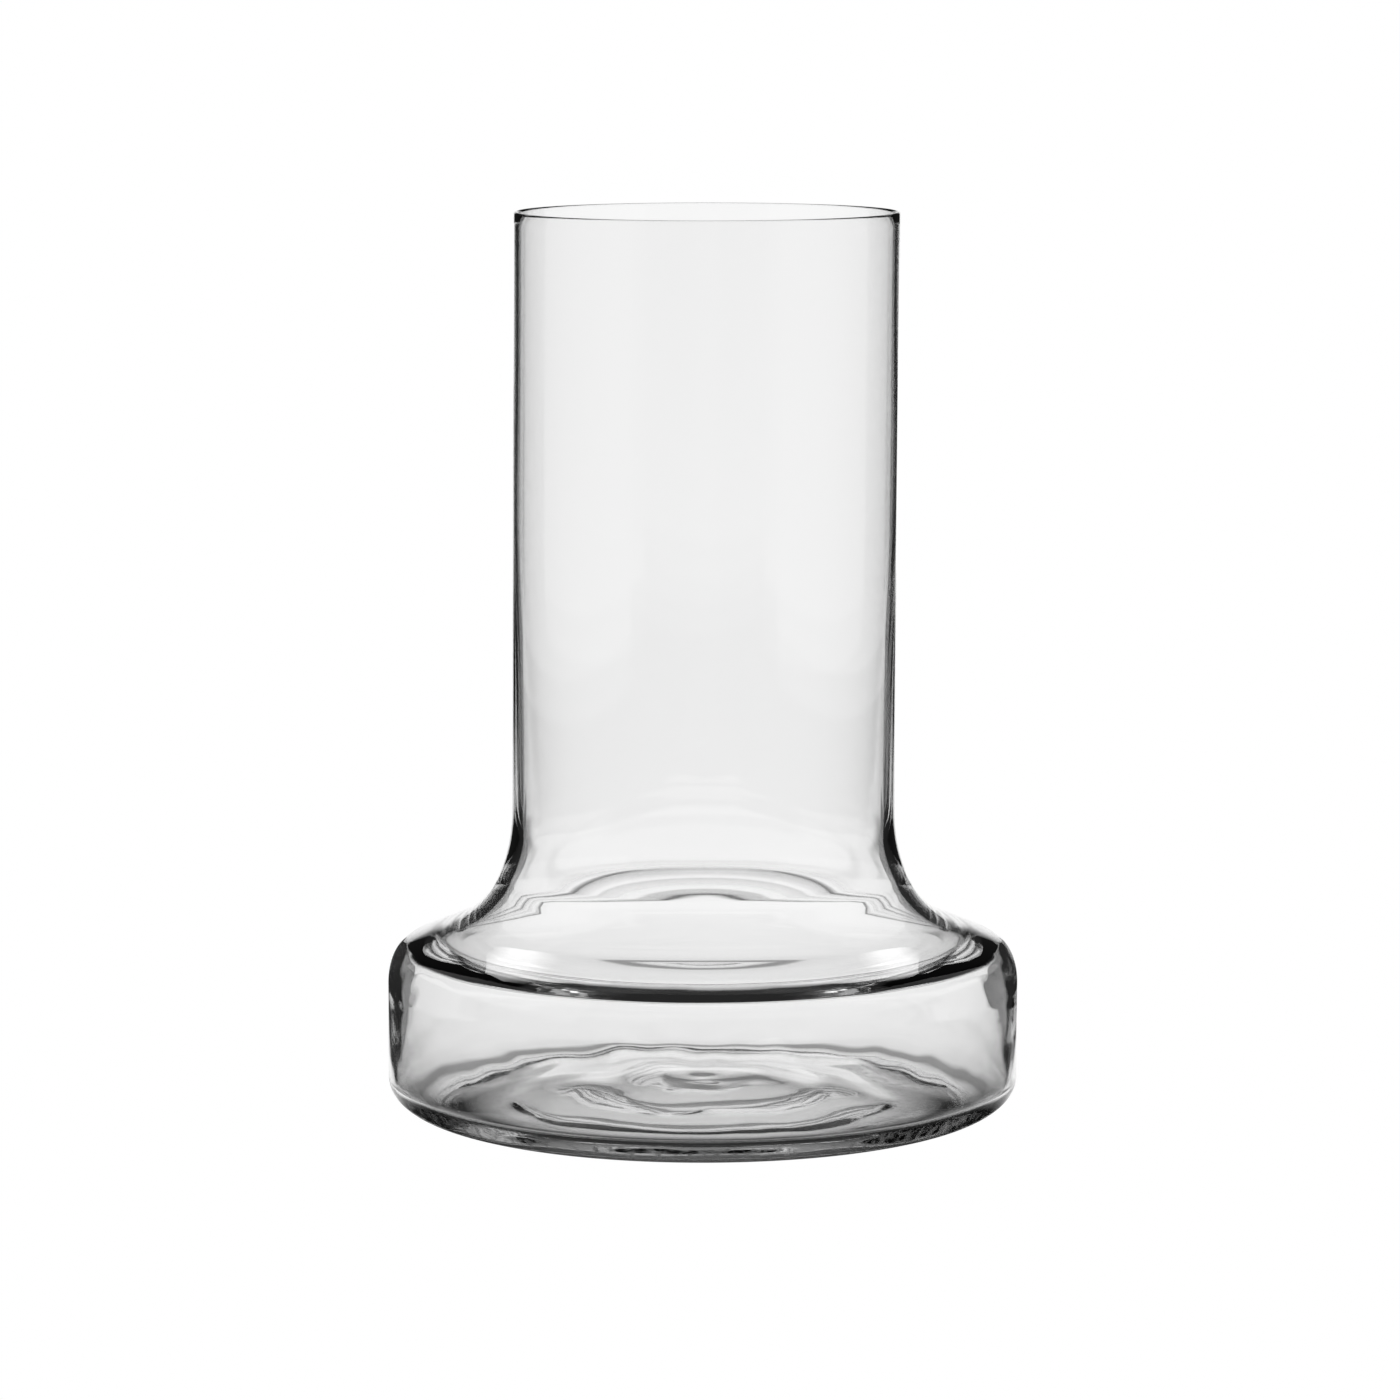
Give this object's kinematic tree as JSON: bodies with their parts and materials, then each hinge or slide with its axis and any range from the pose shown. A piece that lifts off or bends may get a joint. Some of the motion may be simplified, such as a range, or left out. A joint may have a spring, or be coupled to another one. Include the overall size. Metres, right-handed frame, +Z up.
{
  "type": "glass cylinder vase",
  "caption": "Blown clear glass vase: tall thin cylindrical neck flaring into a squat wide drum with a domed base, open at the top.",
  "frame": {"origin": "centre of the underside, on the surface the vase stands on", "axes": "+Z up along the axis of the vase, out of its mouth; the form is round about Z"},
  "size_m": [0.2, 0.2, 0.285],
  "materials": {
    "clear_glass": "clear colourless blown soda-lime glass, fire-polished, smooth with faint waves"
  },
  "bodies": {
    "root": {"rim": "clear_glass", "neck": "clear_glass", "flare": "clear_glass", "shoulder": "clear_glass", "drum_wall": "clear_glass", "base": "clear_glass"}
  },
  "joints": []
}
